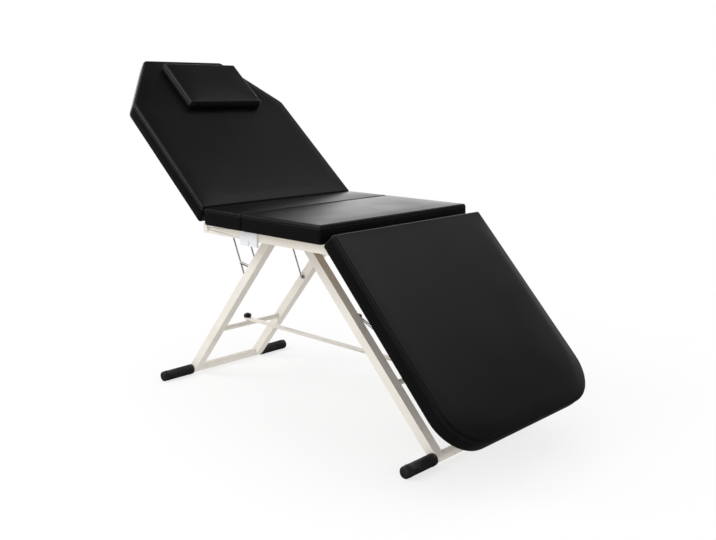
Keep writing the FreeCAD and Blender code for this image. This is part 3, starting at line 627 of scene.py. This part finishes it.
SLEEVE_SIDES = 64
COLLAR_AT = 0.010
COLLAR_WIDTH = 0.0035
COLLAR_RISE = 0.0007
COLLAR_SLOPE = 0.2
LIP_ROUND = 0.0015
END_ROUND = 0.006
ARC_STEPS = 6
# Shares of the radius: a sleeve's mouth, and the small flat that closes an end
MOUTH_SHARE = 0.78
CAP_SHARE = 0.1


def quarter(step):
    """Sine and cosine of a step along a quarter turn."""
    turn = math.pi / 2 * step / ARC_STEPS
    return math.sin(turn), math.cos(turn)


def turned_mesh(name, profile, point, sides):
    """A closed surface through rings of points, one ring for each step of a profile."""
    made = bmesh.new()
    turns = [2 * math.pi * side / sides for side in range(sides)]
    rings = [[made.verts.new(point(step, turn)) for turn in turns] for step in profile]
    for first, second in zip(rings, rings[1:]):
        for side in range(sides):
            after = (side + 1) % sides
            made.faces.new([first[side], first[after], second[after], second[side]])
    made.faces.new(rings[-1])
    made.faces.new(rings[0])
    bmesh.ops.recalc_face_normals(made, faces=made.faces)
    mesh = bpy.data.meshes.new(name)
    made.to_mesh(mesh)
    made.free()
    mesh.shade_smooth()
    return mesh


def sleeve(node_name, body):
    """A rubber sleeve with a raised collar near each end, a rounded closed end and a flat on the floor."""
    low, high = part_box(node_name)
    radius = (high.x - low.x) / 2
    middle_x, middle_z = (low.x + high.x) / 2, high.z - radius
    outward = 1 if low.y > 0 else -1
    start, stop = (low.y, high.y) if outward > 0 else (high.y, low.y)
    length = abs(stop - start)
    skin = radius - COLLAR_RISE
    profile = [(0.0, radius * MOUTH_SHARE)]
    for step in range(ARC_STEPS + 1):
        rise, run = quarter(step)
        profile.append((LIP_ROUND * (1 - run), skin - LIP_ROUND * (1 - rise)))
    for at in (COLLAR_AT, length - 2 * COLLAR_AT):
        profile += [(at, skin), (at + COLLAR_SLOPE * COLLAR_WIDTH, radius),
                    (at + (1 - COLLAR_SLOPE) * COLLAR_WIDTH, radius), (at + COLLAR_WIDTH, skin)]
    for step in range(ARC_STEPS + 1):
        rise, run = quarter(step)
        profile.append((length - END_ROUND * (1 - rise), skin - END_ROUND * (1 - run)))
    profile.append((length, radius * CAP_SHARE))

    def point(step, turn):
        along, reach = step
        return (middle_x + reach * math.cos(turn), start + outward * along,
                max(low.z, middle_z + reach * math.sin(turn)))

    mesh = turned_mesh(node_name + "_moulded", profile, point, SLEEVE_SIDES)
    piece = place(node_name + "_moulded", mesh, FLAT, body, "rubber")
    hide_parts(node_name)


KNOB_SIDES = 96
KNOB_LOBES = 6
LOBE_DEPTH = 0.0011
LOBE_FADE = 4
KNOB_FOOT = 0.0015
KNOB_ROUND = 0.005
KNOB_DOME = 0.0025
DOME_STEPS = 6


def make_knob():
    """A moulded knob with six shallow grips and a low dome."""
    low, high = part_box("clamp_knob")
    radius = (high.x - low.x) / 2
    middle = (low + high) / 2
    shoulder = high.z - KNOB_DOME
    profile = [(low.z, radius * CAP_SHARE), (low.z, radius - KNOB_FOOT), (low.z + KNOB_FOOT, radius)]
    for step in range(ARC_STEPS + 1):
        rise, run = quarter(step)
        profile.append((shoulder - KNOB_ROUND * (1 - rise), radius - KNOB_ROUND * (1 - run)))
    crown = radius - KNOB_ROUND
    for step in range(1, DOME_STEPS + 1):
        reach = crown * (1 - (1 - CAP_SHARE) * step / DOME_STEPS)
        profile.append((shoulder + KNOB_DOME * (1 - (reach / crown) ** 2), reach))

    def point(step, turn):
        height, reach = step
        between_lobes = (1 - math.cos(KNOB_LOBES * turn)) / 2
        reach -= LOBE_DEPTH * between_lobes * (reach / radius) ** LOBE_FADE
        return (middle.x + reach * math.cos(turn), middle.y + reach * math.sin(turn), height)

    mesh = turned_mesh("clamp_knob_moulded", profile, point, KNOB_SIDES)
    piece = place("clamp_knob_moulded", mesh, FLAT, "clamp", "black_plastic")
    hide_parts("clamp_knob")


def make_sleeves():
    """Four sleeves, one on each end of each foot tube."""
    for end in ("rear", "front"):
        for word in ("left", "right"):
            sleeve(f"{end}_foot_sleeve_{word}", f"{end}_legs")


# Floor and light

FLOOR_HALF = 12.0
FLOOR_WHITE = (0.93, 0.93, 0.93, 1)
FLOOR_ROUGHNESS = 0.9
# The floor fades to plain white between two distances, from a share near the table
FADE_START = 1.0
FADE_END = 2.4
FLOOR_GLOW = 0.7
# How far the floor is dimmed in reflections, and lifted where it lights the table
FLOOR_DIM = 0.85
FLOOR_BOUNCE = 0.6
# What vinyl and paint reflect: a far wall under a ceiling, darker on the camera's side
AMBIENT = 1.0
WALL = 2.0
WALL_TOP = math.sin(math.radians(12))
CEILING_START = math.sin(math.radians(36))
CEILING = 0.25
NEAR_WALL = 0.06
FAR_START = 0.32
FAR_FULL = 0.85
LOOK_ALONG = (-math.sin(CAMERA_TURN), math.cos(CAMERA_TURN), 0)
# Each panel: strength, turn and rise in degrees, full and outer half angle in degrees
PANELS = ((1.9, 64, 51, 3, 20), (1.6, -105, 62, 15, 50))
KEY_AT = (-1.8, -2.6, 2.8)
KEY_AIM = (0, 0, 0.5)
KEY_SIZE = 2.0
KEY_WATTS = 48


def make_floor():
    """A pale floor that fades to white away from the table."""
    mesh = bpy.data.meshes.new("floor")
    corner = FLOOR_HALF
    mesh.from_pydata([(-corner, -corner, 0), (corner, -corner, 0), (corner, corner, 0), (-corner, corner, 0)],
                     [], [(0, 1, 2, 3)])
    floor = bpy.data.objects.new("floor", mesh)
    bpy.context.scene.collection.objects.link(floor)
    look = Look("floor")
    look.feed(Base_Color=FLOOR_WHITE, Roughness=FLOOR_ROUGHNESS, Specular_IOR_Level=0.0)
    place_on_floor = look.add("ShaderNodeTexCoord").outputs["Object"]
    reach = look.add("ShaderNodeVectorMath", {"operation": "LENGTH"}, Vector=place_on_floor).outputs["Value"]
    fade = look.eased(reach, FADE_START, FADE_END, FLOOR_GLOW, 1)
    rays = look.add("ShaderNodeLightPath").outputs
    shown = look.maths("MULTIPLY", rays["Is Camera Ray"], fade)
    glow = look.maths("MULTIPLY_ADD", rays["Is Glossy Ray"], FLOOR_DIM, shown)
    share = look.maths("MULTIPLY_ADD", rays["Is Diffuse Ray"], FLOOR_BOUNCE, glow)
    bright = look.maths("MAXIMUM", rays["Is Camera Ray"], rays["Is Diffuse Ray"])
    white = look.add("ShaderNodeEmission", Strength=bright).outputs["Emission"]
    mix = look.add("ShaderNodeMixShader", values=(share, look.shader.outputs["BSDF"], white))
    look.put(look.tree.nodes["Material Output"].inputs["Surface"], mix.outputs["Shader"])
    mesh.materials.append(look.material)


def make_world():
    """White to the camera, an even soft light, and reflections of a wall, a dim ceiling and two panels."""
    world = bpy.data.worlds.new("studio")
    bpy.context.scene.world = world
    world.use_nodes = True
    sky = Shading(world.node_tree)
    background = world.node_tree.nodes["Background"]
    background.inputs["Color"].default_value = (1, 1, 1, 1)
    rays = sky.add("ShaderNodeLightPath").outputs
    ray = sky.add("ShaderNodeTexCoord").outputs["Generated"]
    height = sky.add("ShaderNodeSeparateXYZ", Vector=ray).outputs["Z"]

    def along(direction):
        """How nearly a ray points in a direction."""
        dot = sky.add("ShaderNodeVectorMath", {"operation": "DOT_PRODUCT"}, (ray, direction))
        return dot.outputs["Value"]

    far_side = sky.eased(along(LOOK_ALONG), FAR_START, FAR_FULL, NEAR_WALL, 1)
    wall = sky.eased(height, WALL_TOP, CEILING_START, WALL, CEILING)
    seen = sky.maths("MULTIPLY", wall, far_side)
    for strength, *degrees in PANELS:
        turn, rise, full, edge = map(math.radians, degrees)
        level = math.cos(rise)
        towards = (level * math.cos(turn), level * math.sin(turn), math.sin(rise))
        panel = sky.eased(along(towards), math.cos(edge), math.cos(full), 0, strength)
        seen = sky.maths("ADD", seen, panel)
    mirrored = sky.maths("MAXIMUM", rays["Is Glossy Ray"], rays["Is Transmission Ray"])
    reflected = sky.add("ShaderNodeMix", Factor=mirrored, A=AMBIENT, B=seen).outputs["Result"]
    shown = sky.add("ShaderNodeMix", Factor=rays["Is Camera Ray"], A=reflected, B=1.0).outputs["Result"]
    sky.put(background.inputs["Strength"], shown)


def make_key_lamp():
    """A square softbox, high on the camera's left."""
    data = bpy.data.lights.new("key", "AREA")
    data.size = KEY_SIZE
    data.energy = KEY_WATTS
    lamp = bpy.data.objects.new("key", data)
    lamp.location = KEY_AT
    lamp.rotation_euler = (Vector(KEY_AIM) - Vector(KEY_AT)).to_track_quat("-Z", "Y").to_euler()
    bpy.context.scene.collection.objects.link(lamp)


bpy.context.scene.view_settings.view_transform = "Standard"
make_camera()
dress_cad_nodes()
make_cushions()
make_sleeves()
make_knob()
make_floor()
make_world()
make_key_lamp()
